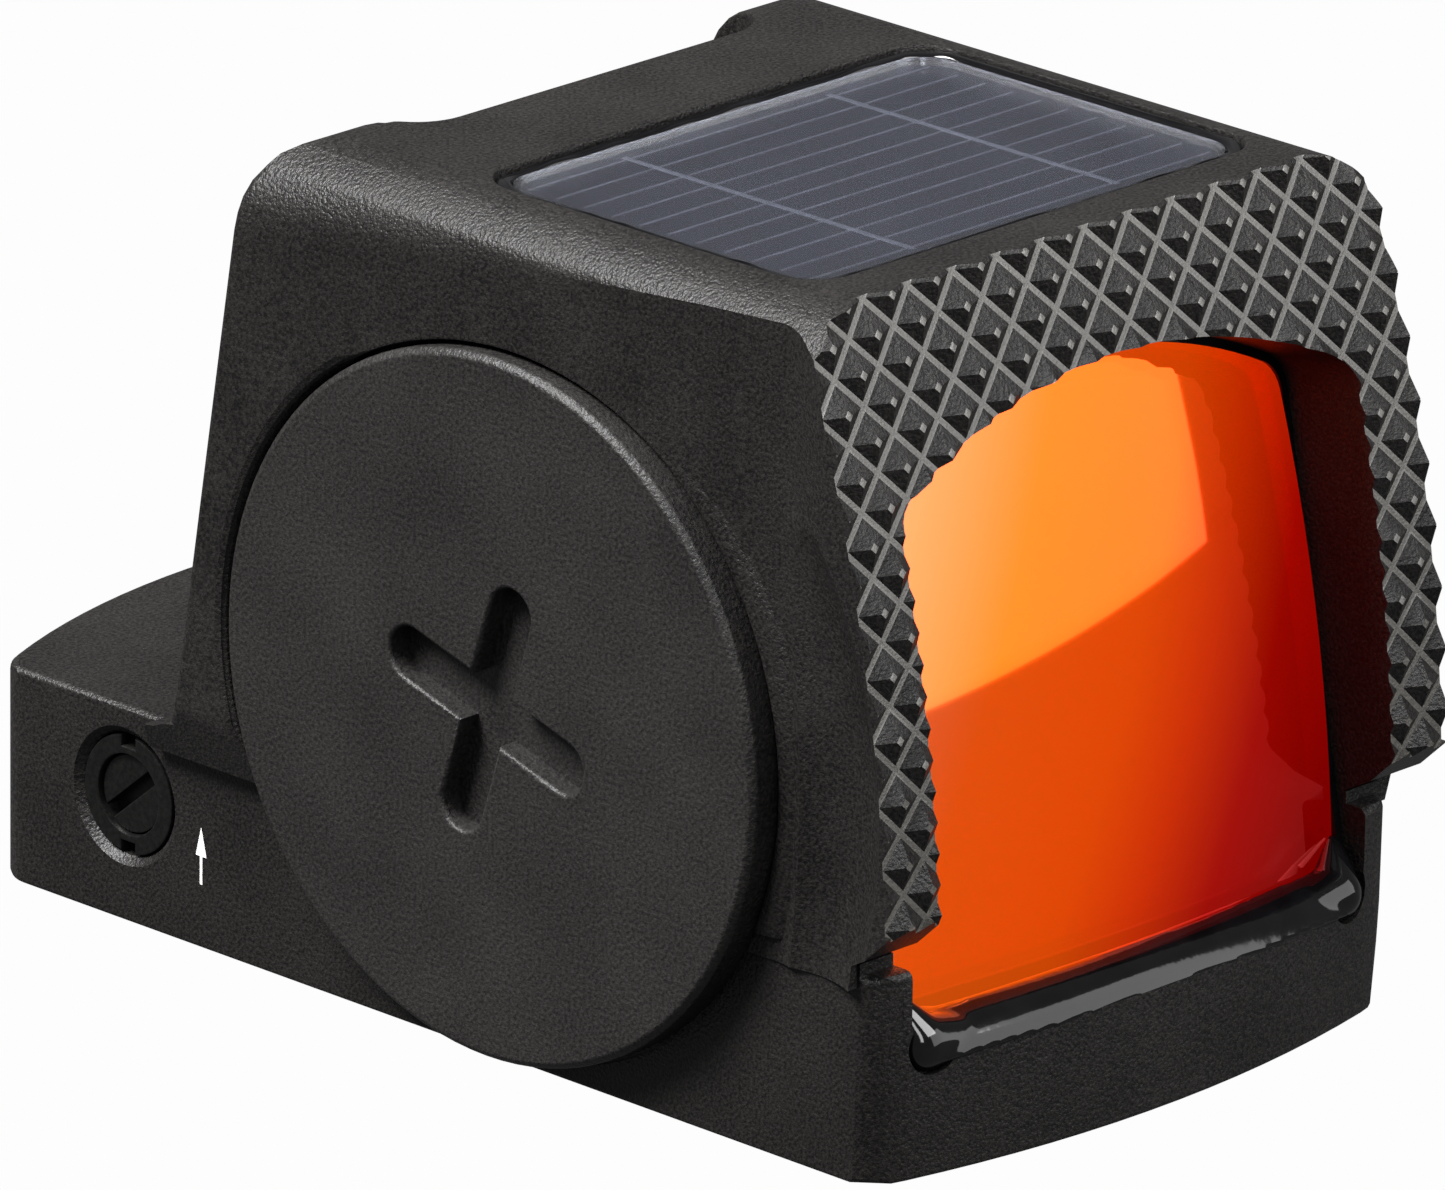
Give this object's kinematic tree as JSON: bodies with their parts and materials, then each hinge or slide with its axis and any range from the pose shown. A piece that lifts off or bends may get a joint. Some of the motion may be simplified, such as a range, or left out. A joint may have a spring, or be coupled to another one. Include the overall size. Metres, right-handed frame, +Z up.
{
  "type": "red dot finder",
  "caption": "Compact hooded reflex finder with a tilted coated lens, solar panel on the roof, side battery cap, adjusters and brightness buttons.",
  "frame": {"origin": "centre of the mounting face on the underside of the base, midway between its sides, on the lateral axis just ahead of the mounting screws", "axes": "+Y is the direction the user looks, from the rear deck to the lens; +X is the user's right, the battery cap's side; +Z is up from the mounting face"},
  "size_m": [0.0263, 0.0426, 0.0278],
  "materials": {
    "anodised_aluminium": "fine bead-blasted black anodising",
    "cap_aluminium": "fine bead-blasted black anodising",
    "coated_glass": "polished, red reflective coating",
    "clear_glass": "polished",
    "black_sealant": "glossy cured sealant",
    "panel_glass": "polished cover glass",
    "silicon_cell": "dark blue-grey cell with fine grid lines",
    "flex_film": "amber polyimide film",
    "nitrile_rubber": "smooth",
    "nickel_steel": "nickel plated",
    "spring_brass": "gold plated",
    "blackened_steel": "black oxide",
    "machined_alloy": "machined",
    "circuit_laminate": "green solder mask",
    "chip_resin": "moulded",
    "led_resin": "clear red",
    "key_rubber": "matt silicone",
    "cover_steel": "black coated"
  },
  "bodies": {
    "body": {"housing": "anodised_aluminium", "lens_front": "coated_glass", "lens_rear": "clear_glass", "lens_sealant": "black_sealant", "solar_glass": "panel_glass", "solar_cell": "silicon_cell", "solar_gasket": "black_sealant", "solar_flex": "flex_film", "negative_contact": "spring_brass", "positive_contact": "spring_brass", "windage_ring": "blackened_steel", "windage_o_ring": "nitrile_rubber", "carriage_spring": "nickel_steel", "emitter_window": "clear_glass", "emitter_flex": "flex_film", "main_board": "circuit_laminate", "controller_chip": "chip_resin", "button_board": "circuit_laminate", "dome_switches": "nickel_steel", "button_bezel": "anodised_aluminium", "bottom_cover": "cover_steel", "cover_gasket": "nitrile_rubber", "cover_screws": "blackened_steel"},
    "cell_group": {"cap_o_ring": "nitrile_rubber", "coin_cell": "nickel_steel", "cell_spring": "spring_brass"},
    "cap": {"battery_cap": "cap_aluminium"},
    "windage_adjuster": {"windage_screw": "blackened_steel"},
    "carriage": {"windage_carriage": "machined_alloy"},
    "elevation_adjuster": {"elevation_screw": "blackened_steel", "elevation_clip": "nickel_steel"},
    "emitter": {"emitter_block": "machined_alloy", "led_emitter": "led_resin"},
    "up_key": {"up_button": "key_rubber"},
    "down_key": {"down_button": "key_rubber"}
  },
  "joints": [
    {"name": "cap_lift", "type": "slide", "parent": "body", "child": "cell_group", "axis": [1, 0, 0], "range_m": [0, 0.00225]},
    {"name": "cap_turn", "type": "hinge", "parent": "cell_group", "child": "cap", "pos_m": [0.0125, 0.00175, 0.01195], "axis": [1, 0, 0], "range_deg": [0, 1080]},
    {"name": "windage_turn", "type": "hinge", "parent": "body", "child": "windage_adjuster", "pos_m": [0.011, -0.0155, 0.00425], "axis": [1, 0, 0], "range_deg": [-360, 360]},
    {"name": "carriage_slide", "type": "slide", "parent": "body", "child": "carriage", "axis": [1, 0, 0], "range_m": [-0.00035, 0.00035], "deforming": ["carriage_spring"]},
    {"name": "elevation_turn", "type": "hinge", "parent": "carriage", "child": "elevation_adjuster", "pos_m": [-0.0005, -0.01835, 0.006], "axis": [0, 0, 1], "range_deg": [-360, 360]},
    {"name": "emitter_slide", "type": "slide", "parent": "carriage", "child": "emitter", "axis": [0, 0, 1], "range_m": [-0.0003, 0.0003]},
    {"name": "up_press", "type": "slide", "parent": "body", "child": "up_key", "axis": [1, 0, 0], "range_m": [0, 0.0003], "stiffness_N_per_m": 1500, "deforming": ["dome_switches"]},
    {"name": "down_press", "type": "slide", "parent": "body", "child": "down_key", "axis": [1, 0, 0], "range_m": [0, 0.0003], "stiffness_N_per_m": 1500, "deforming": ["dome_switches"]}
  ],
  "couplings": [
    {"joint": "cap_turn", "follows": "cap_lift", "rad_per_m": 8376.7},
    {"joint": "windage_turn", "follows": "carriage_slide", "rad_per_m": -17950},
    {"joint": "elevation_turn", "follows": "emitter_slide", "rad_per_m": -20942}
  ]
}
